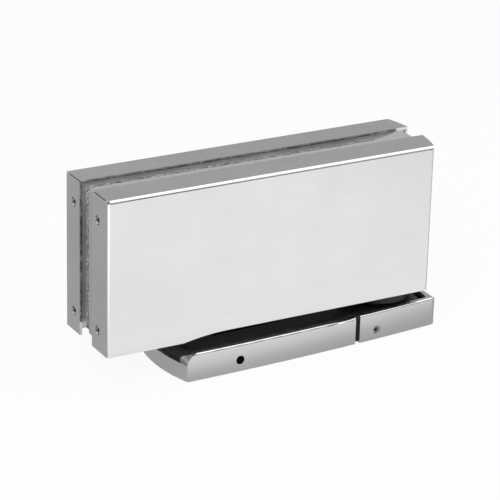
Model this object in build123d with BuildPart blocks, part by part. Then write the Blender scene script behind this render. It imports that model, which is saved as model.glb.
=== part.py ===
"""Hydraulic bottom patch hinge for a frameless glass door, on its floor plate.

Millimetres. +Z is up, X runs along the door and Y through the glass. The origin is the pivot
axis at finished floor level. The closed end of the patch points to -X and its front to -Y.
"""

from build123d import *
import math
import os

os.makedirs("parts", exist_ok=True)

# ---- Driving dimensions -------------------------------------------------------------------

# floor plate, seen from above: a bowed closed end, tapering sides and a bowed pivot end
plate_height = 13.1
plate_closed_apex_x = -115.4
plate_closed_corner_x = -111.1
plate_closed_half_width = 24.8
plate_pivot_corner_x = 22.8
plate_pivot_half_width = 17.8
plate_pivot_apex_x = 24.2
rail_wall = 2.0
rail_edge_radius = 1.0
closed_corner_radius = 1.2
pivot_corner_radius = 3.2
closed_shoulder_radius = 5.3
short_rail_rise = 0.4
short_rail_end_wall = 4.2
short_rail_shoulder_radius = 4.0
rail_slot_left_x = -23.0
rail_slot_width = 2.4
base_below_rail = 0.5
base_side_gap = 0.1
base_shoulder_radius = 5.0

# pivot shoe, its pocket and its adjusters
shoe_radius = 13.0
shoe_gap = 0.3
shoe_floor = 3.4
shoe_top_drop = 0.6
arm_end_x = -90.0
arm_width = 12.0
arm_swing_deg = 2.0
align_screw_x = -84.6
align_screw_z = 5.5
align_screw_radius = 2.0
align_screw_length = 8.0
align_tip_gap = 0.15
screw_hole_gap = 0.08
lock_screw_x = -11.3
lock_screw_z = 4.75
lock_screw_radius = 1.9
lock_screw_recess = 0.35
floor_hole_radius = 2.75
floor_hole_head_radius = 4.6
floor_hole_spacing = 78.0
floor_hole_first_x = -101.0
floor_hole_count = 2

# covers: folded sheet, open underneath and towards the glass
cover_height = 73.0
foot_clearance = 4.5
step_rise = 2.3
step_start_x = -111.5
step_end_x = -88.5
closed_end_x = -149.0
pivot_apex_x = 18.6
pivot_bow_radius = 66.0
half_depth = 21.3
front_free_edge = -5.8
rear_free_edge = 6.7
sheet = 1.2
bend_radius = 1.75
mitre_gap = 0.35
relief_radius = 0.75
cover_hole_radius = 2.15
front_screw_y = -11.4
rear_screw_y = 12.6
cover_screw_drop = 11.8
cover_screw_rise = 9.6
cover_screw_radius = 1.95
cover_screw_length = 6.5
cover_screw_recess = 0.45

# closer body
fit_gap = 0.3
foot_rise = 2.8
lip_inset = 0.4
lip_corner_radius = 2.5
lip_rear = -1.9
body_pivot_x = 13.4
jaw_inset = 4.2
jaw_step = 2.2
band_width = 23.0
band_height = 13.3
block_offset = 28.0
block_wall = 6.0
casting_radius = 3.0
wedge_start_x = -5.0
wedge_end_x = 12.6
wedge_end_y = 4.8
tower_left_x = -14.0
tower_rear = 13.5
tower_roof = 2.8

# glass clamp
gasket_thickness = 1.6
gasket_parting = 0.1
gasket_inset = 1.8
gasket_corner_radius = 3.0
gasket_edge_gap = 0.6
frame_step_gap = 0.5
frame_rear = 16.2
frame_extra_height = 2.5
clamp_travel = 12.0
clamp_screw_radius = 2.95
clamp_screw_gap = 0.1
clamp_head_radius = 5.0
clamp_head_height = 5.5
clamp_head_seat = 10.3
clamp_screw_tip = -16.0
clamp_hole_end = -17.5
clamp_leg_heights = (33.0, 57.0)
clamp_leg_inset = 13.0
clamp_last_x = -14.0
clamp_arm_count = 4

# spindle, cam and cylinder
swing_deg = 90.0
cylinder_radius = 13.0
cylinder_floor = 9.1
cam_thickness = 10.0
cam_gap = 0.05
roller_radius = 5.0
roller_pitch_at_rest = 11.5
piston_stroke = 6.0
cam_chamber_radius = 13.3
spindle_radius = 6.0
journal_radius = 8.0
drive_square = 11.0
drive_gap = 0.1
running_gap = 0.05

piston_length = 24.0
piston_front_gap = 3.0
fork_gap = 0.2
fork_reach = 4.5
roller_pin_radius = 2.0
pin_grip = 4.5
piston_ring_width = 2.0
piston_ring_depth = 1.1
spring_guide_radius = 4.0
spring_guide_length = 7.0
check_ball_radius = 2.4
check_seat_radius = 1.2
check_chamber_radius = 2.6
check_ball_gap = 0.1
check_chamber_inset = 9.0
check_ball_travel = 1.0
check_end_gap = 0.3

plug_length = 11.0
plug_socket = 8.0
outer_wire_radius = 1.7
outer_coil_radius = 10.3
outer_coils = 8.5
inner_wire_radius = 1.1
inner_coil_radius = 6.2
inner_coils = 12.5
ring_section_radius = 0.9
ring_gap = 0.03

# bearings and gland
gland_radius = 13.5
gland_flange_radius = 17.0
gland_floor_gap = 1.0
gland_top_gap = 0.2
bush_radius = 10.5
lower_bush_length = 6.2
seal_length = 4.0
upper_bush_radius = 9.0
upper_bush_length = 6.5
thrust_ball_radius = 3.5
thrust_disc_height = 2.4
ball_socket_gap = 0.05

# speed valves and oil plug, in the front of the block
valve_positions = (-70.0, -54.0)
valve_drop = 4.4
valve_radius = 3.0
valve_neck_radius = 2.0
valve_bore_end = -6.0
valve_recess = 1.0
valve_body_length = 7.0
valve_neck_length = 3.0
oil_way_radius = 1.2
oil_plug_offset = 24.0
oil_plug_length = 4.5
oil_plug_depth = 4.0
oil_plug_rise = 5.0
oil_plug_radius = 3.0

# how far a through cut reaches each side of the middle
cut_reach = 60.0

# ---- Levels and places that follow from them ------------------------------------------------

closed_wall_height = plate_height - closed_shoulder_radius
base_top = plate_height - base_below_rail
shoe_top = base_top - shoe_top_drop
cover_foot = plate_height + foot_clearance
cover_step = cover_foot + step_rise
cover_top = cover_foot + cover_height
body_foot = cover_foot + foot_rise
lining = sheet + fit_gap
lining_top = cover_top - lining
lip_left_x = closed_end_x + lip_inset
block_left_x = closed_end_x + block_offset
oil_plug_x = block_left_x + oil_plug_offset
lip_top = cover_top - lip_inset
jaw_face = lip_rear + jaw_step
front_gasket_rear = jaw_face + gasket_thickness
rear_gasket_front = front_gasket_rear + gasket_parting
clamp_face = rear_gasket_front + gasket_thickness
frame_step = rear_free_edge + frame_step_gap
band_right_x = closed_end_x + band_width
band_bottom = cover_top - band_height
cover_screw_heights = (cover_foot + cover_screw_rise, cover_top - cover_screw_drop)
clamp_arm_height = cover_top - band_height / 2 - 1.4
clamp_leg_x = closed_end_x + clamp_leg_inset
clamp_pitch = (clamp_last_x - clamp_leg_x) / (clamp_arm_count - 1)
clamp_points = [(clamp_leg_x, height) for height in clamp_leg_heights]
clamp_points += [(clamp_leg_x + index * clamp_pitch, clamp_arm_height) for index in range(clamp_arm_count)]

cylinder_z = body_foot + cylinder_floor + cylinder_radius
block_top = cylinder_z + cylinder_radius + block_wall
chamber_floor = cylinder_z - cylinder_radius - 0.5
chamber_top = cylinder_z + cylinder_radius
cam_bottom = cylinder_z - cam_thickness / 2
cam_top = cylinder_z + cam_thickness / 2
piston_radius = cylinder_radius - running_gap
piston_front_x = -roller_pitch_at_rest - roller_radius - piston_front_gap
piston_back_x = piston_front_x - piston_length
fork_tip_x = -roller_pitch_at_rest + fork_reach
check_seat_x = piston_front_x - check_chamber_inset
check_ball_x = check_seat_x - math.sqrt(check_ball_radius**2 - check_seat_radius**2) - check_ball_gap
check_plug_x = check_ball_x - check_ball_radius - check_ball_travel - check_end_gap
fork_half_slot = cam_thickness / 2 + fork_gap
plug_face_x = block_left_x + plug_length + 0.5
gland_top = chamber_floor - gland_top_gap
gland_flange_foot = plate_height + gland_floor_gap
gland_ring_z = body_foot + 3.0
upper_bush_foot = chamber_top + 0.3
upper_bush_top = upper_bush_foot + upper_bush_length
ball_centre_z = upper_bush_top + 1.7
thrust_disc_foot = ball_centre_z + thrust_ball_radius
blind_bore_top = thrust_disc_foot + thrust_disc_height
tower_top = blind_bore_top + tower_roof
spindle_top = ball_centre_z - 2.2
journal_top = gland_top + 0.6
drive_foot = shoe_floor + 1.0
drive_top = shoe_top + 0.7
valve_z = cylinder_z - cylinder_radius - valve_drop
slot_right_x = rail_slot_left_x + rail_slot_width
lock_tip_y = math.sqrt((shoe_radius + shoe_gap) ** 2 - (abs(lock_screw_x) - lock_screw_radius) ** 2) + 0.1
plate_taper = plate_closed_half_width - plate_pivot_half_width
lock_share = (lock_screw_x - plate_closed_corner_x) / (plate_pivot_corner_x - plate_closed_corner_x)
lock_face_y = plate_closed_half_width - plate_taper * lock_share**2 - lock_screw_recess


def facing_front(y):
    """The plane at y that looks to the front, with X and Z as its own axes."""
    return Plane.XZ.offset(-y)


def across(x):
    """The plane at x that looks along +X, with Y and Z as its own axes."""
    return Plane.YZ.offset(x)


def level(z):
    """The horizontal plane at z."""
    return Plane.XY.offset(z)


def save(builder, name):
    """Label a finished piece and write its file."""
    builder.part.label = name
    export_step(builder.part, f"parts/{name}.step")


def bow_x(y, inset):
    """Where the bowed pivot end of the covers is at y, a wall thickness further in."""
    centre = pivot_apex_x - pivot_bow_radius
    return centre + math.sqrt((pivot_bow_radius - inset) ** 2 - y**2)


# ---- Floor unit -----------------------------------------------------------------------------


def plate_outline(z, inset=0.0, end_inset=None):
    """The plate from above, drawn in by the inset, and at the pivot end by end_inset."""
    end_drop = inset if end_inset is None else end_inset
    closed_x = plate_closed_corner_x + inset
    closed_y = plate_closed_half_width - inset
    pivot_x = plate_pivot_corner_x - end_drop
    pivot_y = plate_pivot_half_width - inset
    closed_apex = (plate_closed_apex_x + inset, 0)
    pivot_apex = (plate_pivot_apex_x - end_drop, 0)
    with BuildSketch(level(z)) as outline:
        with BuildLine():
            front = TangentArc((closed_x, -closed_y), (pivot_x, -pivot_y), tangent=(1, 0))
            ThreePointArc(front @ 1, pivot_apex, (pivot_x, pivot_y))
            TangentArc((closed_x, closed_y), (pivot_x, pivot_y), tangent=(1, 0))
            ThreePointArc((closed_x, closed_y), closed_apex, front @ 0)
        make_face()
        fillet(outline.vertices().group_by(Axis.X)[0], closed_corner_radius)
        fillet(outline.vertices().group_by(Axis.X)[-1], max(pivot_corner_radius - inset, 0.5))
    return outline.sketch


def rail_ring(height, end_inset):
    """The stainless band round the base, before the slot parts it in two."""
    with BuildPart() as ring:
        extrude(plate_outline(0), amount=height)
        fillet(ring.faces().sort_by(Axis.Z)[-1].edges(), rail_edge_radius)
        extrude(plate_outline(0, rail_wall, end_inset), amount=height, mode=Mode.SUBTRACT)
    return ring.part


with BuildPart() as long_rail:
    add(rail_ring(plate_height, short_rail_end_wall))
    # the band stops at the slot
    with BuildSketch(level(0)):
        with Locations((rail_slot_left_x, 0)):
            Rectangle(200, 100, align=(Align.MIN, Align.CENTER))
    extrude(amount=plate_height, mode=Mode.SUBTRACT)
    # the closed end is lower, and each rail curves down to it
    with BuildSketch(facing_front(cut_reach)):
        with BuildLine():
            shoulder_left = plate_closed_corner_x
            shoulder_right = shoulder_left + closed_shoulder_radius
            TangentArc((shoulder_left, closed_wall_height), (shoulder_right, plate_height), tangent=(0, 1))
            Polyline(
                (shoulder_right, plate_height),
                (shoulder_right, plate_height + 5),
                (plate_closed_apex_x - 5, plate_height + 5),
                (plate_closed_apex_x - 5, closed_wall_height),
                (shoulder_left, closed_wall_height),
            )
        make_face()
    extrude(amount=2 * cut_reach, mode=Mode.SUBTRACT)
    # holes for the alignment screws
    with BuildSketch(facing_front(cut_reach)):
        with Locations((align_screw_x, align_screw_z)):
            Circle(align_screw_radius + screw_hole_gap)
    extrude(amount=2 * cut_reach, mode=Mode.SUBTRACT)
save(long_rail, "long_rail")

short_rail_height = plate_height + short_rail_rise
with BuildPart() as short_rail:
    add(rail_ring(short_rail_height, short_rail_end_wall))
    with BuildSketch(level(0)):
        with Locations((slot_right_x, 0)):
            Rectangle(200, 100, align=(Align.MAX, Align.CENTER))
    extrude(amount=short_rail_height, mode=Mode.SUBTRACT)
    # the pivot end has a rounded shoulder
    with BuildSketch(facing_front(cut_reach)):
        with BuildLine():
            shoulder_right = plate_pivot_apex_x
            shoulder_left = shoulder_right - short_rail_shoulder_radius
            shoulder_foot = short_rail_height - short_rail_shoulder_radius
            TangentArc((shoulder_right, shoulder_foot), (shoulder_left, short_rail_height), tangent=(0, 1))
            Polyline(
                (shoulder_left, short_rail_height),
                (shoulder_left, short_rail_height + 5),
                (shoulder_right + 5, short_rail_height + 5),
                (shoulder_right + 5, shoulder_foot),
                (shoulder_right, shoulder_foot),
            )
        make_face()
    extrude(amount=2 * cut_reach, mode=Mode.SUBTRACT)
    with BuildSketch(facing_front(cut_reach)):
        with Locations((lock_screw_x, lock_screw_z)):
            Circle(lock_screw_radius + screw_hole_gap)
    extrude(amount=2 * cut_reach, mode=Mode.SUBTRACT)
save(short_rail, "short_rail")

arm_play = abs(arm_end_x) * math.sin(math.radians(arm_swing_deg)) + 0.6
with BuildPart() as floor_plate:
    base_inset = rail_wall + base_side_gap
    extrude(plate_outline(0, base_inset, short_rail_end_wall + base_side_gap), amount=base_top)
    closed_edge = floor_plate.faces().sort_by(Axis.Z)[-1].edges().sort_by(Axis.X)[0]
    fillet(closed_edge, base_shoulder_radius)
    # pocket for the shoe and for the swing of its arm
    with BuildSketch(level(shoe_floor)):
        Circle(shoe_radius + shoe_gap)
        with BuildLine():
            pocket_half = arm_width / 2 + arm_play
            near_half = arm_width / 2 + shoe_gap
            pocket_end = arm_end_x - 1.0
            Polyline(
                (0, -near_half),
                (pocket_end, -pocket_half),
                (pocket_end, pocket_half),
                (0, near_half),
                close=True,
            )
        make_face()
    extrude(amount=base_top, mode=Mode.SUBTRACT)
    # countersunk holes for the floor screws, under the arm and beyond its end
    for index in range(floor_hole_count):
        hole_x = floor_hole_first_x + index * floor_hole_spacing
        seat_z = base_top if hole_x < pocket_end else shoe_floor
        head_depth = floor_hole_head_radius - floor_hole_radius
        with BuildSketch(level(seat_z)):
            with Locations((hole_x, 0)):
                Circle(floor_hole_radius)
        extrude(amount=-base_top, mode=Mode.SUBTRACT)
        with BuildSketch(level(seat_z)):
            with Locations((hole_x, 0)):
                Circle(floor_hole_head_radius)
        extrude(amount=-head_depth, taper=45, mode=Mode.SUBTRACT)
    # threaded holes for the alignment and lock screws, from each side in to the pocket
    for side in (-1, 1):
        for hole_x, hole_z, radius, inner_y in (
            (align_screw_x, align_screw_z, align_screw_radius, arm_width / 2),
            (lock_screw_x, lock_screw_z, lock_screw_radius, lock_tip_y),
        ):
            with BuildSketch(facing_front(side * plate_closed_half_width)):
                with Locations((hole_x, hole_z)):
                    Circle(radius + screw_hole_gap)
            extrude(amount=side * (plate_closed_half_width - inner_y), mode=Mode.SUBTRACT)
save(floor_plate, "floor_plate")

with BuildPart() as pivot_shoe:
    with BuildSketch(level(shoe_floor + 0.1)):
        Circle(shoe_radius)
        with Locations((0, 0)):
            Rectangle(abs(arm_end_x), arm_width, align=(Align.MAX, Align.CENTER))
        Rectangle(drive_square + 2 * drive_gap, drive_square + 2 * drive_gap, mode=Mode.SUBTRACT)
    extrude(amount=shoe_top - shoe_floor - 0.1)
    fillet(pivot_shoe.edges().filter_by(Axis.Z).group_by(Axis.X)[0], 2.0)
save(pivot_shoe, "pivot_shoe")

align_tip_y = arm_width / 2 + align_tip_gap
with BuildPart() as alignment_screws:
    for side in (-1, 1):
        outer_y = side * (align_tip_y + align_screw_length)
        with BuildSketch(facing_front(outer_y)):
            with Locations((align_screw_x, align_screw_z)):
                Circle(align_screw_radius)
        extrude(amount=side * align_screw_length)
        with BuildSketch(facing_front(outer_y)):
            with Locations((align_screw_x, align_screw_z)):
                RegularPolygon(1.25, 6)
        extrude(amount=side * 2.5, mode=Mode.SUBTRACT)
save(alignment_screws, "alignment_screws")

with BuildPart() as lock_screws:
    for side in (-1, 1):
        with BuildSketch(facing_front(side * lock_face_y)):
            with Locations((lock_screw_x, lock_screw_z)):
                Circle(lock_screw_radius)
        extrude(amount=side * (lock_face_y - lock_tip_y))
        with BuildSketch(facing_front(side * lock_face_y)):
            with Locations((lock_screw_x, lock_screw_z)):
                RegularPolygon(1.2, 6)
        extrude(amount=side * 2.2, mode=Mode.SUBTRACT)
save(lock_screws, "lock_screws")

# ---- Spindle and cam ------------------------------------------------------------------------

lift_per_radian = piston_stroke / math.radians(swing_deg)
track_offset = roller_radius + cam_gap


def cam_point(turn):
    """A point of the cam's flank, which the roller touches when the door has turned by turn."""
    reach = roller_pitch_at_rest + lift_per_radian * turn
    out = (math.cos(math.pi + turn), math.sin(math.pi + turn))
    along = (-out[1], out[0])
    length = math.hypot(reach, lift_per_radian)
    normal = [(reach * o - lift_per_radian * a) / length for o, a in zip(out, along)]
    return (reach * out[0] - track_offset * normal[0], reach * out[1] - track_offset * normal[1])


with BuildPart() as cam_spindle:
    # heart cam: a seat for the roller, two even flanks and a round back
    flank_turns = [math.radians(swing_deg + 6) * step / 10 for step in range(11)]
    flank = [cam_point(turn) for turn in flank_turns]
    mirrored = [(x, -y) for x, y in reversed(flank)]
    back_radius = math.hypot(*flank[-1])
    with BuildSketch(level(cam_bottom)):
        with BuildLine():
            ThreePointArc(mirrored[-1], (-roller_pitch_at_rest + track_offset, 0), flank[0])
            Spline(*flank)
            ThreePointArc(flank[-1], (back_radius, 0), mirrored[0])
            Spline(*mirrored)
        make_face()
    extrude(amount=cam_thickness)
    # shaft, journal and square drive
    with BuildSketch(level(journal_top)):
        Circle(spindle_radius)
    extrude(amount=spindle_top - journal_top)
    with BuildSketch(level(drive_top)):
        Circle(journal_radius)
    extrude(amount=journal_top - drive_top)
    with BuildSketch(level(drive_foot)):
        Rectangle(drive_square, drive_square)
    extrude(amount=drive_top - drive_foot)
    # cup for the thrust ball
    with Locations((0, 0, ball_centre_z)):
        Sphere(thrust_ball_radius + ball_socket_gap, mode=Mode.SUBTRACT)
save(cam_spindle, "cam_spindle")

with BuildPart() as thrust_ball:
    with Locations((0, 0, ball_centre_z)):
        Sphere(thrust_ball_radius)
save(thrust_ball, "thrust_ball")

with BuildPart() as thrust_disc:
    with BuildSketch(level(thrust_disc_foot)):
        Circle(upper_bush_radius)
    extrude(amount=thrust_disc_height)
save(thrust_disc, "thrust_disc")

with BuildPart() as upper_bearing:
    with BuildSketch(level(upper_bush_foot)):
        Circle(upper_bush_radius)
        Circle(spindle_radius + running_gap, mode=Mode.SUBTRACT)
    extrude(amount=upper_bush_length)
save(upper_bearing, "upper_bearing")

lower_bush_foot = gland_top - lower_bush_length
seal_foot = lower_bush_foot - seal_length
with BuildPart() as lower_bearing:
    with BuildSketch(level(lower_bush_foot)):
        Circle(bush_radius)
        Circle(journal_radius + running_gap, mode=Mode.SUBTRACT)
    extrude(amount=lower_bush_length)
save(lower_bearing, "lower_bearing")

with BuildPart() as shaft_seal:
    # lip seal: an outer ring whose lip tapers in to the journal
    with BuildSketch(Plane.XZ):
        with BuildLine():
            Polyline(
                (bush_radius, seal_foot),
                (bush_radius, lower_bush_foot),
                (bush_radius - 1.2, lower_bush_foot),
                (bush_radius - 1.2, seal_foot + 1.2),
                (journal_radius + 0.9, seal_foot + 1.2),
                (journal_radius + running_gap, lower_bush_foot - 1.0),
                (journal_radius + running_gap, seal_foot + 0.6),
                (journal_radius + 0.6, seal_foot),
                close=True,
            )
        make_face()
    revolve(axis=Axis.Z)
save(shaft_seal, "shaft_seal")

with BuildPart() as gland_cap:
    with BuildSketch(level(gland_flange_foot)):
        Circle(gland_flange_radius)
    extrude(amount=body_foot - gland_flange_foot)
    fillet(gland_cap.faces().sort_by(Axis.Z)[0].edges(), 0.8)
    with BuildSketch(level(body_foot)):
        Circle(gland_radius - running_gap)
    extrude(amount=gland_top - body_foot)
    # bearing and seal seats, and the hole for the spindle
    with BuildSketch(level(seal_foot)):
        Circle(bush_radius)
    extrude(amount=gland_top - seal_foot, mode=Mode.SUBTRACT)
    with BuildSketch(level(gland_flange_foot)):
        Circle(journal_radius + 0.4)
    extrude(amount=seal_foot - gland_flange_foot, mode=Mode.SUBTRACT)
    # pin holes for the spanner
    with BuildSketch(level(gland_flange_foot)):
        with PolarLocations(13.2, 2):
            Circle(1.5)
    extrude(amount=3.0, mode=Mode.SUBTRACT)
    # groove for the gland's ring
    with BuildSketch(Plane.XZ):
        with Locations((gland_radius - ring_section_radius, gland_ring_z)):
            Circle(ring_section_radius + ring_gap)
    revolve(axis=Axis.Z, mode=Mode.SUBTRACT)
save(gland_cap, "gland_cap")

with BuildPart() as gland_seal:
    with BuildSketch(Plane.XZ):
        with Locations((gland_radius - ring_section_radius, gland_ring_z)):
            Circle(ring_section_radius)
    revolve(axis=Axis.Z)
save(gland_seal, "gland_seal")

# ---- Cylinder -------------------------------------------------------------------------------

with BuildPart() as piston:
    with BuildSketch(across(piston_back_x)):
        with Locations((0, cylinder_z)):
            Circle(piston_radius)
    extrude(amount=fork_tip_x - piston_back_x)
    # the fork straddles the cam and carries the roller
    with BuildSketch(across(piston_front_x)):
        with Locations((0, cylinder_z)):
            Rectangle(2 * cylinder_radius, 2 * fork_half_slot)
    extrude(amount=fork_tip_x - piston_front_x, mode=Mode.SUBTRACT)
    with BuildSketch(level(cylinder_z - cylinder_radius)):
        with Locations((-roller_pitch_at_rest, 0)):
            Circle(roller_pin_radius)
    extrude(amount=2 * cylinder_radius, mode=Mode.SUBTRACT)
    # spring guide on the back
    with BuildSketch(across(piston_back_x)):
        with Locations((0, cylinder_z)):
            Circle(spring_guide_radius)
    extrude(amount=-spring_guide_length)
    # one-way valve: a seat towards the cam, the ball's chamber and the plug's bore
    with BuildSketch(across(check_seat_x)):
        with Locations((0, cylinder_z)):
            Circle(check_seat_radius)
    extrude(amount=check_chamber_inset, mode=Mode.SUBTRACT)
    with BuildSketch(across(check_plug_x)):
        with Locations((0, cylinder_z)):
            Circle(check_chamber_radius)
    extrude(amount=check_seat_x - check_plug_x, mode=Mode.SUBTRACT)
    with BuildSketch(across(check_plug_x)):
        with Locations((0, cylinder_z)):
            Circle(check_chamber_radius)
    extrude(amount=piston_back_x - spring_guide_length - check_plug_x, mode=Mode.SUBTRACT)
    # groove for the piston ring
    ring_groove_x = piston_back_x + 4.0
    with BuildSketch(across(ring_groove_x)):
        with Locations((0, cylinder_z)):
            Circle(piston_radius + 1)
            Circle(piston_radius - piston_ring_depth, mode=Mode.SUBTRACT)
    extrude(amount=piston_ring_width + 0.1, mode=Mode.SUBTRACT)
save(piston, "piston")

with BuildPart() as piston_ring:
    with BuildSketch(across(ring_groove_x + 0.05)):
        with Locations((0, cylinder_z)):
            Circle(cylinder_radius - 0.02)
            Circle(piston_radius - piston_ring_depth + 0.05, mode=Mode.SUBTRACT)
    extrude(amount=piston_ring_width)
save(piston_ring, "piston_ring")

with BuildPart() as check_plug:
    with BuildSketch(across(check_plug_x)):
        with Locations((0, cylinder_z)):
            Circle(check_chamber_radius)
            Circle(check_seat_radius, mode=Mode.SUBTRACT)
    extrude(amount=-5.0)
save(check_plug, "check_plug")

with BuildPart() as check_ball:
    with Locations((check_ball_x, 0, cylinder_z)):
        Sphere(check_ball_radius)
save(check_ball, "check_ball")

with BuildPart() as cam_roller:
    with BuildSketch(level(cam_bottom)):
        with Locations((-roller_pitch_at_rest, 0)):
            Circle(roller_radius)
            Circle(roller_pin_radius + running_gap, mode=Mode.SUBTRACT)
    extrude(amount=cam_thickness)
save(cam_roller, "cam_roller")

with BuildPart() as roller_pin:
    pin_length = 2 * (fork_half_slot + pin_grip)
    with BuildSketch(level(cylinder_z - pin_length / 2)):
        with Locations((-roller_pitch_at_rest, 0)):
            Circle(roller_pin_radius)
    extrude(amount=pin_length)
save(roller_pin, "roller_pin")


def coil_spring(coil_radius, wire_radius, coils):
    """A compression spring between the cylinder plug and the piston."""
    start_x = plug_face_x + wire_radius + 0.1
    length = piston_back_x - wire_radius - 0.1 - start_x
    with BuildPart() as spring:
        with BuildLine() as path:
            Helix(length / coils, length, coil_radius, (start_x, 0, cylinder_z), (1, 0, 0))
        with BuildSketch(Plane(origin=path.line @ 0, z_dir=path.line % 0)):
            Circle(wire_radius)
        sweep(is_frenet=True)
    return spring


save(coil_spring(outer_coil_radius, outer_wire_radius, outer_coils), "outer_spring")
save(coil_spring(inner_coil_radius, inner_wire_radius, inner_coils), "inner_spring")

plug_ring_x = plug_face_x - 3.0
plug_radius = cylinder_radius - running_gap
with BuildPart() as cylinder_plug:
    with BuildSketch(across(plug_face_x - plug_length)):
        with Locations((0, cylinder_z)):
            Circle(plug_radius)
    extrude(amount=plug_length)
    with BuildSketch(across(plug_face_x - plug_length)):
        with Locations((0, cylinder_z)):
            RegularPolygon(plug_socket / 2, 6)
    extrude(amount=5.0, mode=Mode.SUBTRACT)
    with BuildSketch(Plane.XZ):
        with Locations((plug_ring_x, cylinder_z + cylinder_radius - ring_section_radius)):
            Circle(ring_section_radius + ring_gap)
    revolve(axis=Axis((0, 0, cylinder_z), (1, 0, 0)), mode=Mode.SUBTRACT)
save(cylinder_plug, "cylinder_plug")

with BuildPart() as plug_seal:
    with BuildSketch(Plane.XZ):
        with Locations((plug_ring_x, cylinder_z + cylinder_radius - ring_section_radius)):
            Circle(ring_section_radius)
    revolve(axis=Axis((0, 0, cylinder_z), (1, 0, 0)))
save(plug_seal, "plug_seal")

# ---- Covers ---------------------------------------------------------------------------------


def cover_plan(z, side, inset, open_edge, left_x=closed_end_x):
    """A cover from above, or what fits inside it, from its face to the edge at open_edge."""
    face_y = side * (half_depth - inset)
    left = max(left_x, closed_end_x + inset)
    middle_y = (face_y + open_edge) / 2
    with BuildSketch(level(z)) as plan:
        with BuildLine():
            Polyline((left, open_edge), (left, face_y), (bow_x(face_y, inset), face_y))
            ThreePointArc(
                (bow_x(face_y, inset), face_y),
                (bow_x(middle_y, inset), middle_y),
                (bow_x(open_edge, inset), open_edge),
            )
            Line((bow_x(open_edge, inset), open_edge), (left, open_edge))
        make_face()
    return plan.sketch


def round_folds(builder, side, radius):
    """Round the edges of the face, apart from the bottom one."""
    face = builder.faces().sort_by(Axis.Y)[0 if side < 0 else -1]
    fillet(face.edges().sort_by(Axis.Z)[1:], radius)


def cover_hollow(side, free_edge):
    """The space inside a folded cover."""
    past_edge = free_edge - side * 2.0
    with BuildPart() as hollow:
        extrude(cover_plan(cover_foot - 2, side, sheet, past_edge), amount=cover_height - sheet + 2)
        round_folds(hollow, side, bend_radius - sheet)
    return hollow.part


def folded_cover(side, free_edge, screw_y, pivot_heights):
    """A face with a top flange and two end flanges, folded from one sheet."""
    face_y = side * half_depth
    with BuildPart() as cover:
        extrude(cover_plan(cover_foot, side, 0, free_edge), amount=cover_height)
        round_folds(cover, side, bend_radius)
        add(cover_hollow(side, free_edge), mode=Mode.SUBTRACT)
        # the foot steps up over the floor plate
        with BuildSketch(facing_front(half_depth + 5)):
            with BuildLine():
                TangentArc((step_end_x, cover_step), (step_start_x, cover_foot), tangent=(-1, 0))
                Polyline(
                    (step_start_x, cover_foot),
                    (step_start_x, cover_foot - 5),
                    (pivot_apex_x + 5, cover_foot - 5),
                    (pivot_apex_x + 5, cover_step),
                    (step_end_x, cover_step),
                )
            make_face()
        extrude(amount=2 * (half_depth + 5), mode=Mode.SUBTRACT)
        # mitre at the closed end, and its relief where the three folds meet
        mitre_start = face_y - side * (bend_radius + 0.4)
        mitre_end = free_edge - side * 1.0
        with BuildSketch(facing_front(max(mitre_start, mitre_end))):
            with Locations((closed_end_x + sheet / 2, cover_top - sheet / 2)):
                Rectangle(4 * sheet, mitre_gap, rotation=-45)
        extrude(amount=abs(mitre_end - mitre_start), mode=Mode.SUBTRACT)
        with BuildSketch(facing_front(max(face_y - side * 2.4, face_y + side))):
            with Locations((closed_end_x + relief_radius, cover_top - relief_radius)):
                Circle(relief_radius)
        extrude(amount=3.4, mode=Mode.SUBTRACT)
        # at the pivot end the flange stops just under the top one
        with BuildSketch(facing_front(half_depth + 5)):
            with Locations((bow_x(half_depth, bend_radius) - 0.2, cover_top - sheet)):
                Rectangle(10, mitre_gap, align=(Align.MIN, Align.MAX))
        extrude(amount=2 * (half_depth + 5), mode=Mode.SUBTRACT)
        # holes for the set screws
        with BuildSketch(across(closed_end_x - 1)):
            with Locations(*[(screw_y, height) for height in cover_screw_heights]):
                Circle(cover_hole_radius)
        extrude(amount=sheet + 2, mode=Mode.SUBTRACT)
        with BuildSketch(across(bow_x(half_depth, sheet) - 2)):
            with Locations(*[(screw_y, height) for height in pivot_heights]):
                Circle(cover_hole_radius)
        extrude(amount=10, mode=Mode.SUBTRACT)
    return cover


def cover_screws(screw_y, pivot_heights):
    """Set screws with hexagon sockets, in through the end flanges."""
    pivot_face_x = bow_x(screw_y, cover_screw_recess)
    seats = [(closed_end_x + cover_screw_recess, 1, height) for height in cover_screw_heights]
    seats += [(pivot_face_x, -1, height) for height in pivot_heights]
    with BuildPart() as screws:
        for face_x, inward, height in seats:
            with BuildSketch(across(face_x)):
                with Locations((screw_y, height)):
                    Circle(cover_screw_radius)
            extrude(amount=inward * cover_screw_length)
            with BuildSketch(across(face_x)):
                with Locations((screw_y, height)):
                    RegularPolygon(1.15, 6)
            extrude(amount=inward * 2.0, mode=Mode.SUBTRACT)
    return screws


rear_pivot_heights = cover_screw_heights[1:]
save(folded_cover(-1, front_free_edge, front_screw_y, cover_screw_heights), "front_cover")
save(folded_cover(1, rear_free_edge, rear_screw_y, rear_pivot_heights), "rear_cover")
save(cover_screws(front_screw_y, cover_screw_heights), "front_cover_screws")
save(cover_screws(rear_screw_y, rear_pivot_heights), "rear_cover_screws")

# ---- Closer body ----------------------------------------------------------------------------


def wedge_x(y):
    """Where the body's slanted rear face at the pivot end reaches y."""
    return wedge_start_x + (y - lip_rear) * (wedge_end_x - wedge_start_x) / (wedge_end_y - lip_rear)


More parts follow.
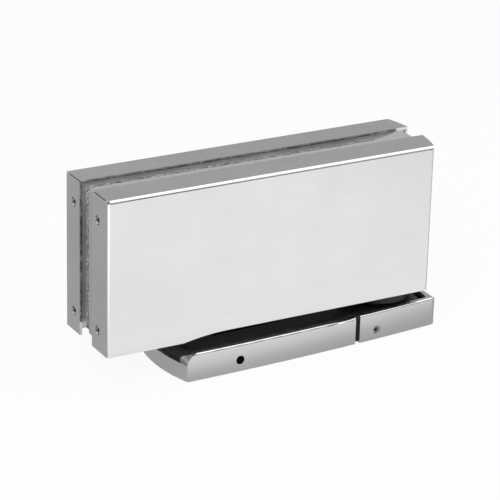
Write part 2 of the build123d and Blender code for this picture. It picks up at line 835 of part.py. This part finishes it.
def band_sketch(y, inset, right_x, foot, corner_radius, inner_gap=0.0):
    """The L-shaped clamping band: a leg at the closed end and an arm along the top."""
    left = closed_end_x + inset
    top = cover_top - inset
    with BuildSketch(facing_front(y)) as band:
        with BuildLine():
            Polyline(
                (left, foot),
                (left, top),
                (right_x, top),
                (right_x, band_bottom + inner_gap),
                (band_right_x - inner_gap, band_bottom + inner_gap),
                (band_right_x - inner_gap, foot),
                close=True,
            )
        make_face()
        fillet(band.vertices().group_by(Axis.X)[0].sort_by(Axis.Y)[-1], corner_radius)
    return band.sketch


with BuildPart() as closer_body:
    # slab inside the front cover
    extrude(cover_plan(body_foot, -1, lining, front_free_edge), amount=lining_top - body_foot)
    # lip that shows between the covers
    lip_width = body_pivot_x - lip_left_x
    with BuildSketch(facing_front(lip_rear)) as lip:
        with Locations((lip_left_x, body_foot)):
            Rectangle(lip_width, lip_top - body_foot, align=(Align.MIN, Align.MIN))
        fillet(lip.vertices().group_by(Axis.X)[0], lip_corner_radius)
    extrude(amount=lip_rear - front_free_edge)
    # front jaw
    extrude(band_sketch(jaw_face, jaw_inset, wedge_x(jaw_face), body_foot + 2, 1.0), amount=jaw_step)
    # cylinder block, which stands in the glass's notch and fills both covers
    block_plan = cover_plan(body_foot, 1, lining, front_free_edge, block_left_x)
    extrude(block_plan, amount=block_top - body_foot)
    # tower round the upper bearing
    with BuildSketch(facing_front(tower_rear)):
        with Locations((tower_left_x, body_foot)):
            Rectangle(body_pivot_x - tower_left_x, tower_top - body_foot, align=(Align.MIN, Align.MIN))
    extrude(amount=tower_rear - lip_rear)
    fillet(closer_body.edges().filter_by(Axis.Z).group_by(Axis.Y)[-1], casting_radius)
    # wedge that closes the glass plane at the pivot end
    with BuildSketch(level(body_foot)):
        with BuildLine():
            Polyline(
                (wedge_start_x, lip_rear),
                (wedge_end_x, wedge_end_y),
                (body_pivot_x, wedge_end_y),
                (body_pivot_x, lip_rear),
                close=True,
            )
        make_face()
    extrude(amount=lip_top - body_foot)
    # cylinder, cam chamber, gland bore and the blind bore of the upper bearing
    with BuildSketch(across(block_left_x)):
        with Locations((0, cylinder_z)):
            Circle(cylinder_radius)
    extrude(amount=-block_left_x, mode=Mode.SUBTRACT)
    with BuildSketch(level(chamber_floor)):
        Circle(cam_chamber_radius)
    extrude(amount=chamber_top - chamber_floor, mode=Mode.SUBTRACT)
    with BuildSketch(level(body_foot)):
        Circle(gland_radius)
    extrude(amount=chamber_floor - body_foot, mode=Mode.SUBTRACT)
    with BuildSketch(level(chamber_top)):
        Circle(upper_bush_radius)
    extrude(amount=blind_bore_top - chamber_top, mode=Mode.SUBTRACT)
    # threaded holes for the clamp screws
    with BuildSketch(facing_front(jaw_face)):
        with Locations(*clamp_points):
            Circle(clamp_screw_radius + clamp_screw_gap)
    extrude(amount=jaw_face - clamp_hole_end, mode=Mode.SUBTRACT)
    # threaded holes for the front cover's set screws
    screw_depth = cover_screw_length + 0.8
    for face_x, inward in ((closed_end_x, 1), (bow_x(front_screw_y, 0), -1)):
        with BuildSketch(across(face_x)):
            with Locations(*[(front_screw_y, height) for height in cover_screw_heights]):
                Circle(cover_screw_radius + screw_hole_gap)
        extrude(amount=inward * screw_depth, mode=Mode.SUBTRACT)
    # speed valves: bore, groove for the ring, and oil ways to the cylinder
    slab_face = -(half_depth - lining)
    for valve_x in valve_positions:
        with BuildSketch(facing_front(valve_bore_end)):
            with Locations((valve_x, valve_z)):
                Circle(valve_radius + running_gap)
        extrude(amount=valve_bore_end - slab_face, mode=Mode.SUBTRACT)
        with BuildSketch(facing_front(0)):
            with Locations((valve_x, valve_z)):
                Circle(oil_way_radius)
        extrude(amount=-valve_bore_end, mode=Mode.SUBTRACT)
        with BuildSketch(level(valve_z)):
            with Locations((valve_x, -oil_way_radius)):
                Circle(oil_way_radius)
        extrude(amount=cylinder_z - cylinder_radius - valve_z + 1, mode=Mode.SUBTRACT)
    with BuildSketch(facing_front(-cylinder_radius + oil_plug_depth)):
        with Locations((oil_plug_x, cylinder_z + oil_plug_rise)):
            Circle(oil_plug_radius)
    extrude(amount=-slab_face - cylinder_radius + oil_plug_depth, mode=Mode.SUBTRACT)
save(closer_body, "closer_body")

with BuildPart() as oil_plug:
    with BuildSketch(facing_front(slab_face + oil_plug_length)):
        with Locations((oil_plug_x, cylinder_z + oil_plug_rise)):
            Circle(oil_plug_radius)
    extrude(amount=oil_plug_length)
    with BuildSketch(facing_front(slab_face + 2.5)):
        with Locations((oil_plug_x, cylinder_z + oil_plug_rise)):
            RegularPolygon(1.5, 6)
    extrude(amount=2.5, mode=Mode.SUBTRACT)
save(oil_plug, "oil_plug")

valve_face = slab_face + valve_recess
neck_rear = valve_face + valve_body_length + valve_neck_length


def speed_valve(valve_x):
    """A threaded head with a hexagon socket, a neck for the ring and a needle."""
    with BuildPart() as valve:
        with BuildSketch(facing_front(valve_face + valve_body_length)):
            with Locations((valve_x, valve_z)):
                Circle(valve_radius)
        extrude(amount=valve_body_length)
        with BuildSketch(facing_front(neck_rear)):
            with Locations((valve_x, valve_z)):
                Circle(valve_neck_radius)
        extrude(amount=valve_neck_length)
        with BuildSketch(Plane.XY.offset(valve_z)):
            with BuildLine():
                Polyline(
                    (valve_x, neck_rear),
                    (valve_x + valve_neck_radius, neck_rear),
                    (valve_x, neck_rear + 2.5),
                    close=True,
                )
            make_face()
        revolve(axis=Axis((valve_x, 0, valve_z), (0, 1, 0)))
        with BuildSketch(facing_front(valve_face + 3)):
            with Locations((valve_x, valve_z)):
                RegularPolygon(1.45, 6)
        extrude(amount=3, mode=Mode.SUBTRACT)
    return valve


save(speed_valve(valve_positions[0]), "sweep_valve")
save(speed_valve(valve_positions[1]), "latch_valve")

seal_section = (valve_radius - valve_neck_radius) / 2 - 0.04
with BuildPart() as valve_seals:
    for valve_x in valve_positions:
        with BuildSketch(Plane.XY.offset(valve_z)):
            with Locations((valve_x + (valve_radius + valve_neck_radius) / 2, neck_rear - 1.2)):
                Circle(seal_section)
        revolve(axis=Axis((valve_x, 0, valve_z), (0, 1, 0)))
save(valve_seals, "valve_seals")

# ---- Glass clamp ----------------------------------------------------------------------------


def gasket(rear_y):
    """A fibre gasket on one side of the glass."""
    right_x = wedge_x(rear_y - gasket_thickness) - gasket_edge_gap
    foot = body_foot + gasket_inset
    with BuildPart() as pad:
        extrude(
            band_sketch(rear_y, gasket_inset, right_x, foot, gasket_corner_radius, 0.5),
            amount=gasket_thickness,
        )
        with BuildSketch(facing_front(rear_y)):
            with Locations(*clamp_points):
                Circle(clamp_screw_radius + 0.4)
        extrude(amount=gasket_thickness, mode=Mode.SUBTRACT)
    return pad


save(gasket(front_gasket_rear), "front_gasket")
save(gasket(clamp_face), "rear_gasket")

with BuildPart() as clamp_frame:
    # thick L inside the rear cover
    extrude(cover_plan(body_foot, 1, lining, frame_step), amount=lining_top - body_foot)
    with BuildSketch(facing_front(half_depth)):
        Rectangle(500, 500)
    extrude(amount=half_depth - frame_rear, mode=Mode.SUBTRACT)
    with BuildSketch(facing_front(half_depth)):
        with Locations((band_right_x, band_bottom - frame_extra_height)):
            Rectangle(300, 200, align=(Align.MIN, Align.MAX))
    extrude(amount=2 * half_depth, mode=Mode.SUBTRACT)
    # jaw that reaches forward between the covers
    jaw_right_x = wedge_x(clamp_face) - gasket_edge_gap
    extrude(
        band_sketch(frame_step, jaw_inset, jaw_right_x, body_foot + 2, 1.0),
        amount=frame_step - clamp_face,
    )
    # counterbored holes for the clamp screws
    with BuildSketch(facing_front(frame_rear)):
        with Locations(*clamp_points):
            Circle(clamp_screw_radius + 0.2)
    extrude(amount=frame_rear - clamp_face, mode=Mode.SUBTRACT)
    with BuildSketch(facing_front(frame_rear)):
        with Locations(*clamp_points):
            Circle(clamp_head_radius + 0.2)
    extrude(amount=frame_rear - clamp_head_seat, mode=Mode.SUBTRACT)
    # threaded holes for the rear cover's set screws
    with BuildSketch(across(closed_end_x)):
        with Locations(*[(rear_screw_y, height) for height in cover_screw_heights]):
            Circle(cover_screw_radius + screw_hole_gap)
    extrude(amount=screw_depth, mode=Mode.SUBTRACT)
    with BuildSketch(across(bow_x(rear_screw_y, 0))):
        with Locations(*[(rear_screw_y, height) for height in rear_pivot_heights]):
            Circle(cover_screw_radius + screw_hole_gap)
    extrude(amount=-screw_depth, mode=Mode.SUBTRACT)
save(clamp_frame, "clamp_frame")

with BuildPart() as clamp_screws:
    with BuildSketch(facing_front(clamp_head_seat + clamp_head_height)):
        with Locations(*clamp_points):
            Circle(clamp_head_radius)
    extrude(amount=clamp_head_height)
    with BuildSketch(facing_front(clamp_head_seat)):
        with Locations(*clamp_points):
            Circle(clamp_screw_radius)
    extrude(amount=clamp_head_seat - clamp_screw_tip)
    with BuildSketch(facing_front(clamp_head_seat + clamp_head_height)):
        with Locations(*clamp_points):
            RegularPolygon(2.9, 6)
    extrude(amount=3.0, mode=Mode.SUBTRACT)
save(clamp_screws, "clamp_screws")
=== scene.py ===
"""Looks for the hydraulic bottom patch hinge: finishes, studio and camera. Metres, +Z up."""

import math

import bpy
from mathutils import Matrix, Vector

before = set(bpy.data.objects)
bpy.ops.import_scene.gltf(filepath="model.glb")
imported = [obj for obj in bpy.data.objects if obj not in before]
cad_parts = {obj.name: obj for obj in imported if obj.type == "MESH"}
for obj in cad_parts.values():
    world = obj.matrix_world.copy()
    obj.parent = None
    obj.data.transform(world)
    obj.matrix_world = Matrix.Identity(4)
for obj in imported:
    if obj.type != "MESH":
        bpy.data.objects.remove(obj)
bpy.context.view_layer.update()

BRIGHTEST = 2.0  # the highest level that a light colour takes, where 1 is white
HINGE_MIDDLE = Vector((-0.06, 0, 0.04))


# ---- Shader words ---------------------------------------------------------------------------


class Value:
    """A shader socket that takes part in plain arithmetic."""

    def __init__(self, shader, socket):
        self.shader = shader
        self.socket = socket

    def maths(self, operation, first, second):
        return self.shader.node("ShaderNodeMath", {"operation": operation}, {0: first, 1: second})

    def __add__(self, other):
        return self.maths("ADD", self, other)

    def __radd__(self, other):
        return self.maths("ADD", other, self)

    def __sub__(self, other):
        return self.maths("SUBTRACT", self, other)

    def __rsub__(self, other):
        return self.maths("SUBTRACT", other, self)

    def __mul__(self, other):
        return self.maths("MULTIPLY", self, other)

    def __rmul__(self, other):
        return self.maths("MULTIPLY", other, self)

    def step(self, low, high):
        """0 below low and 1 above high, with a soft ramp between."""
        ends = {"Value": self, "From Min": low, "From Max": high}
        settings = {"interpolation_type": "SMOOTHSTEP"}
        return self.shader.node("ShaderNodeMapRange", settings, ends)


class Shader:
    """Builds one node tree."""

    def __init__(self, tree):
        self.tree = tree
        tree.nodes.clear()

    def node(self, kind, settings=None, values=None, output=0):
        made = self.tree.nodes.new(kind)
        for name, setting in (settings or {}).items():
            setattr(made, name, setting)
        for name, value in (values or {}).items():
            socket = made.inputs[name]
            if isinstance(value, Value):
                self.tree.links.new(value.socket, socket)
            else:
                socket.default_value = value
        return Value(self, made.outputs[output]) if made.outputs else made

    def place(self, stretch=(1, 1, 1)):
        """The point on the object in metres, times stretch."""
        point = self.node("ShaderNodeTexCoord", output="Object")
        return self.node("ShaderNodeMapping", {}, {"Vector": point, "Scale": stretch})

    def noise(self, stretch, detail=3.0):
        """Noise with stretch grains to the metre along each axis."""
        values = {"Vector": self.place(stretch), "Scale": 1.0, "Detail": detail}
        return self.node("ShaderNodeTexNoise", {}, values)

    def blend(self, share, first, second):
        values = {"Factor": share, 6: first, 7: second}
        return self.node("ShaderNodeMix", {"data_type": "RGBA"}, values, output=2)

    def light(self, level):
        """A grey light colour, for a level from 0 to BRIGHTEST."""
        return self.blend(level * (1 / BRIGHTEST), grey(0), grey(BRIGHTEST))

    def bump(self, height, strength, distance):
        values = {"Height": height, "Strength": strength, "Distance": distance}
        return self.node("ShaderNodeBump", {}, values)


def grey(level, warmth=0.0):
    """A grey colour, with a little more red than blue where warmth is given."""
    return (level + warmth, level, level - warmth, 1)


def finish(name, build, **constants):
    """A material with one Principled shader: build gives what varies over the surface."""
    material = bpy.data.materials.new(name)
    material.use_nodes = True
    shader = Shader(material.node_tree)
    values = dict(constants)
    values.update(build(shader))
    surface = shader.node("ShaderNodeBsdfPrincipled", {}, values)
    shader.node("ShaderNodeOutputMaterial", {}, {"Surface": surface})
    return material


# ---- Finishes -------------------------------------------------------------------------------


def polished_sheet(shader):
    """Folded stainless: a very fine rolled grain, faint clouds and a few hairlines."""
    grain = shader.noise((60, 60, 9000), 4.0)
    clouds = shader.noise((28, 28, 28), 2.0)
    hairs = shader.noise((300, 300, 22000), 2.0).step(0.62, 0.78)
    tone = grain * 0.5 + clouds * 0.5
    return {
        "Base Color": shader.blend(tone.step(0.3, 0.7), grey(0.82), grey(0.89)),
        "Roughness": 0.15 + grain * 0.05 + clouds * 0.05 + hairs * 0.04,
        "Normal": shader.bump(grain + hairs * 0.5, 0.04, 0.00002),
    }


def satin_rail(shader):
    """Machined and polished stainless bar, with marks of the belt along its length."""
    belt = shader.noise((90, 90, 7000), 4.0)
    clouds = shader.noise((60, 60, 60), 2.0)
    return {
        "Base Color": shader.blend(belt, grey(0.80), grey(0.86)),
        "Roughness": 0.17 + belt * 0.08 + clouds * 0.05,
        "Normal": shader.bump(belt, 0.06, 0.00002),
    }


def cast_alloy(shader):
    """Aluminium die casting, linished where it shows."""
    grit = shader.noise((2600, 2600, 2600), 5.0)
    waves = shader.noise((160, 160, 160), 3.0)
    lines = shader.noise((150, 4000, 150), 2.0)
    return {
        "Base Color": shader.blend(grit * 0.6 + waves * 0.4, grey(0.74), grey(0.90)),
        "Roughness": 0.34 + grit * 0.16 + lines * 0.08,
        "Normal": shader.bump(grit + waves * 2 + lines, 0.15, 0.00005),
    }


def black_coat(shader):
    """Black coating on steel: fine orange peel, a little dust and rubbed high spots."""
    peel = shader.noise((3200, 3200, 3200), 3.0)
    dust = shader.noise((140, 140, 140), 5.0).step(0.5, 0.8)
    specks = shader.noise((5200, 5200, 5200), 1.0).step(0.72, 0.78)
    return {
        "Base Color": shader.blend(dust * 0.5 + specks * 0.5, grey(0.016), grey(0.05)),
        "Roughness": 0.4 + dust * 0.16 + peel * 0.08,
        "Normal": shader.bump(peel, 0.25, 0.00004),
    }


def fibre_sheet(shader):
    """Pressed grey fibre, with pale flecks and a soft broken edge."""
    fibres = shader.noise((1400, 1400, 900), 6.0)
    flecks = shader.noise((1500, 1500, 1100), 2.0).step(0.5, 0.62)
    layers = shader.noise((200, 2600, 200), 2.0).step(0.4, 0.6)
    tone = fibres * 0.3 + flecks * 0.45 + layers * 0.25
    return {
        "Base Color": shader.blend(tone.step(0.2, 0.85), grey(0.08), grey(0.72, 0.006)),
        "Roughness": 0.78 + fibres * 0.16,
        "Normal": shader.bump(fibres + flecks, 0.6, 0.00018),
    }


def turned_steel(shader):
    """Ground steel with rings from the wheel and traces of oil."""
    rings = shader.noise((500, 500, 5200), 3.0)
    oil = shader.noise((120, 120, 120), 3.0).step(0.45, 0.7)
    return {
        "Base Color": shader.blend(oil * 0.6 + rings * 0.4, grey(0.60), grey(0.42, 0.01)),
        "Roughness": 0.22 + rings * 0.12 + oil * 0.06,
        "Normal": shader.bump(rings, 0.12, 0.00003),
    }


def screw_steel(shader):
    """Bright set screws, dull in their sockets."""
    rings = shader.noise((2200, 2200, 2200), 3.0)
    dull = shader.noise((700, 700, 700), 3.0).step(0.4, 0.7)
    return {
        "Base Color": shader.blend(dull, grey(0.60), grey(0.36)),
        "Roughness": 0.26 + rings * 0.14 + dull * 0.1,
        "Normal": shader.bump(rings, 0.15, 0.00003),
    }


def black_oxide(shader):
    """Black oxide on screws, rubbed to steel on high spots."""
    rub = shader.noise((900, 900, 900), 4.0).step(0.58, 0.78)
    peel = shader.noise((4000, 4000, 4000), 2.0)
    return {
        "Base Color": shader.blend(rub, grey(0.03), grey(0.22)),
        "Roughness": 0.38 + peel * 0.16,
        "Normal": shader.bump(peel, 0.15, 0.00003),
    }


def turned_brass(shader):
    """Turned brass, a little tarnished."""
    rings = shader.noise((3800, 3800, 3800), 3.0)
    tarnish = shader.noise((420, 420, 420), 4.0).step(0.4, 0.72)
    clean = (0.80, 0.60, 0.27, 1)
    tarnished = (0.50, 0.34, 0.14, 1)
    return {
        "Base Color": shader.blend(tarnish, clean, tarnished),
        "Roughness": 0.24 + rings * 0.14 + tarnish * 0.1,
        "Normal": shader.bump(rings, 0.15, 0.00003),
    }


def bearing_bronze(shader):
    """Sintered bronze, with fine pores."""
    pores = shader.noise((5200, 5200, 5200), 2.0).step(0.55, 0.72)
    clouds = shader.noise((260, 260, 260), 3.0)
    bare = (0.62, 0.41, 0.22, 1)
    oiled = (0.36, 0.22, 0.11, 1)
    return {
        "Base Color": shader.blend(clouds * 0.6 + pores * 0.4, bare, oiled),
        "Roughness": 0.34 + pores * 0.3,
        "Normal": shader.bump(1 - pores, 0.3, 0.00004),
    }


def seal_rubber(shader):
    """Smooth black rubber with a bloom."""
    bloom = shader.noise((300, 300, 300), 4.0)
    skin = shader.noise((3600, 3600, 3600), 2.0)
    return {
        "Base Color": shader.blend(bloom.step(0.4, 0.8), grey(0.014), grey(0.05)),
        "Roughness": 0.5 + bloom * 0.2,
        "Normal": shader.bump(skin, 0.2, 0.00003),
    }


def white_plastic(shader):
    """Filled white plastic with fine grain."""
    grain = shader.noise((2400, 2400, 2400), 4.0)
    clouds = shader.noise((200, 200, 200), 2.0)
    return {
        "Base Color": shader.blend(grain * 0.5 + clouds * 0.5, grey(0.72, 0.01), grey(0.84, 0.005)),
        "Roughness": 0.5 + grain * 0.2,
        "Normal": shader.bump(grain, 0.2, 0.00004),
    }


sheet = finish("polished_stainless_sheet", polished_sheet, Metallic=1.0)
rail = finish("satin_stainless_rail", satin_rail, Metallic=1.0)
casting = finish("linished_casting", cast_alloy, Metallic=1.0)
coating = finish("black_coating", black_coat, Metallic=0.0)
fibre = finish("grey_fibre", fibre_sheet, Metallic=0.0)
steel = finish("ground_steel", turned_steel, Metallic=1.0)
screws = finish("bright_screw_steel", screw_steel, Metallic=1.0)
oxide = finish("black_oxide", black_oxide, Metallic=0.7)
brass = finish("turned_brass", turned_brass, Metallic=1.0)
bronze = finish("bearing_bronze", bearing_bronze, Metallic=1.0)
rubber = finish("black_seal_rubber", seal_rubber, Metallic=0.0)
plastic = finish("white_filled_plastic", white_plastic, Metallic=0.0)

NODE_FINISH = {
    "front_cover": sheet,
    "rear_cover": sheet,
    "long_rail": rail,
    "short_rail": rail,
    "front_cover_screws": screws,
    "rear_cover_screws": screws,
    "lock_screws": screws,
    "alignment_screws": oxide,
    "clamp_screws": oxide,
    "closer_body": casting,
    "clamp_frame": casting,
    "floor_plate": coating,
    "gland_cap": coating,
    "front_gasket": fibre,
    "rear_gasket": fibre,
    "sweep_valve": brass,
    "latch_valve": brass,
    "oil_plug": brass,
    "upper_bearing": bronze,
    "lower_bearing": bronze,
    "piston_ring": plastic,
    "shaft_seal": rubber,
    "gland_seal": rubber,
    "plug_seal": rubber,
    "valve_seals": rubber,
}

for node_name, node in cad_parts.items():
    material = NODE_FINISH.get(node_name, steel)
    if not node.material_slots:
        node.data.materials.append(material)
    for material_slot in node.material_slots:
        material_slot.material = material


# ---- Studio ---------------------------------------------------------------------------------


def studio_floor():
    """A wide pale floor. Metal sees a painted reflection on it: bright in front and dimmer behind,
    with a painted shadow at the hinge's foot and painted highlights.
    """
    half_width = 6.0
    diffuse_level = 0.86
    white_share = 0.93
    corners = [(x * half_width, y * half_width, 0) for x, y in ((-1, -1), (1, -1), (1, 1), (-1, 1))]
    mesh = bpy.data.meshes.new("studio_floor")
    mesh.from_pydata(corners, [], [(0, 1, 2, 3)])
    floor = bpy.data.objects.new("studio_floor", mesh)
    bpy.context.scene.collection.objects.link(floor)
    material = bpy.data.materials.new("pale_floor")
    material.use_nodes = True
    shader = Shader(material.node_tree)
    point = shader.node("ShaderNodeTexCoord", output="Object")
    along = shader.node("ShaderNodeSeparateXYZ", {}, {"Vector": point}, output="X")
    across = shader.node("ShaderNodeSeparateXYZ", {}, {"Vector": point}, output="Y")
    front = 1 - across.step(-0.10, 0.0)
    forward = across * -1

    # Painted reflection levels: how far metal sees each part of the floor raised or lowered, where 1
    # is white.
    behind = 0.38
    ahead = 0.54
    shade_depth = 0.24
    painted_highlight_gain = 0.33
    painted_right_shade_depth = 0.16
    painted_left_highlight_gain = 0.3
    # Painted shadow: the floor that metal sees is darker just in front of the hinge's foot.
    foot_shade = 1 - forward.step(0.018, 0.038)
    # Painted highlight: a brighter strip on the floor a little further out, seen only in metal.
    painted_highlight_strip = forward.step(0.03, 0.042) - forward.step(0.05, 0.09)
    # Painted shade: the floor that metal sees grows darker towards the right.
    painted_right_shade = along.step(0.0, 0.3)
    # Painted highlight: a brighter patch on the floor to the left front, seen only in metal.
    painted_left_highlight = (along * -1).step(0.16, 0.22) * (1 - across.step(-0.12, -0.02))
    in_front = ahead - foot_shade * shade_depth + painted_highlight_strip * painted_highlight_gain - painted_right_shade * painted_right_shade_depth
    seen = behind + front * in_front + painted_left_highlight * painted_left_highlight_gain

    glossy = shader.node("ShaderNodeLightPath", output="Is Glossy Ray")
    camera = shader.node("ShaderNodeLightPath", output="Is Camera Ray")
    white = shader.node("ShaderNodeEmission", {}, {"Color": (1, 1, 1, 1), "Strength": 1.0})
    # Painted reflection: this emission is what glossy rays see on the floor.
    painted_reflection = shader.node("ShaderNodeEmission", {}, {"Color": shader.light(seen), "Strength": 1.0})
    matt = shader.node("ShaderNodeBsdfDiffuse", {}, {"Color": grey(diffuse_level)})
    shown = shader.node("ShaderNodeMixShader", {}, {0: camera * white_share, 1: matt, 2: white})
    seen_by_metal = shader.node("ShaderNodeMixShader", {}, {0: glossy, 1: shown, 2: painted_reflection})
    shader.node("ShaderNodeOutputMaterial", {}, {"Surface": seen_by_metal})
    floor.data.materials.append(material)


def studio_world():
    """An overhead softbox, a dim back wall and a dark band at eye height in front."""
    wall = 0.38
    overhead_gain = 1.1
    band_loss = 0.3
    matt_level = 0.55
    world = bpy.data.worlds.new("studio_world")
    world.use_nodes = True
    bpy.context.scene.world = world
    shader = Shader(world.node_tree)
    direction = shader.node("ShaderNodeTexCoord", output="Generated")
    depth = shader.node("ShaderNodeSeparateXYZ", {}, {"Vector": direction}, output="Y")
    height = shader.node("ShaderNodeSeparateXYZ", {}, {"Vector": direction}, output="Z")
    overhead = height.step(0.45, 0.7) * (1 - depth.step(0.25, 0.55))
    eye_band = (1 - height.step(0.12, 0.4)) * (1 - depth.step(-0.3, 0.2))
    seen = wall + overhead * overhead_gain - eye_band * band_loss
    glossy = shader.node("ShaderNodeLightPath", output="Is Glossy Ray")
    level = glossy * seen + (1 - glossy) * matt_level
    light = shader.node("ShaderNodeBackground", {}, {"Color": shader.light(level), "Strength": 1.0})
    shader.node("ShaderNodeOutputWorld", {}, {"Surface": light})


def softbox(name, place, size, power):
    """A square area light aimed at the middle of the hinge. Metal doesn't mirror it."""
    light = bpy.data.lights.new(name, "AREA")
    light.shape = "SQUARE"
    light.size = size
    light.energy = power
    lamp = bpy.data.objects.new(name, light)
    lamp.location = place
    aim = HINGE_MIDDLE - Vector(place)
    lamp.rotation_euler = aim.to_track_quat("-Z", "Y").to_euler()
    lamp.visible_glossy = False
    bpy.context.scene.collection.objects.link(lamp)


def product_camera():
    """A long lens from the front left, a little above the hinge."""
    azimuth = math.radians(-29.27)
    elevation = math.radians(22.24)
    roll = math.radians(1.473)
    distance = 1.1347
    shift_left = 0.00358
    shift_down = 0.00862
    target = Vector((-0.0665, -0.0053, 0.0576))
    back = Vector(
        (
            math.sin(azimuth) * math.cos(elevation),
            -math.cos(azimuth) * math.cos(elevation),
            math.sin(elevation),
        )
    )
    level_right = Vector((math.cos(azimuth), math.sin(azimuth), 0))
    level_up = back.cross(level_right)
    right = level_right * math.cos(roll) + level_up * math.sin(roll)
    up = level_up * math.cos(roll) - level_right * math.sin(roll)
    place = target + back * distance - right * shift_left - up * shift_down
    lens = bpy.data.cameras.new("product_camera")
    lens.lens = 182.3
    lens.sensor_width = 36
    lens.clip_start = 0.05
    camera = bpy.data.objects.new("product_camera", lens)
    axes = Matrix((right, up, back)).transposed().to_4x4()
    camera.matrix_world = Matrix.Translation(place) @ axes
    bpy.context.scene.collection.objects.link(camera)
    bpy.context.scene.camera = camera


studio_floor()
studio_world()
softbox("key_softbox", place=(-0.7, -0.8, 1.1), size=0.9, power=9.0)
softbox("fill_softbox", place=(0.9, -0.6, 0.8), size=0.9, power=4.0)
product_camera()

scene = bpy.context.scene
scene.view_settings.view_transform = "Standard"
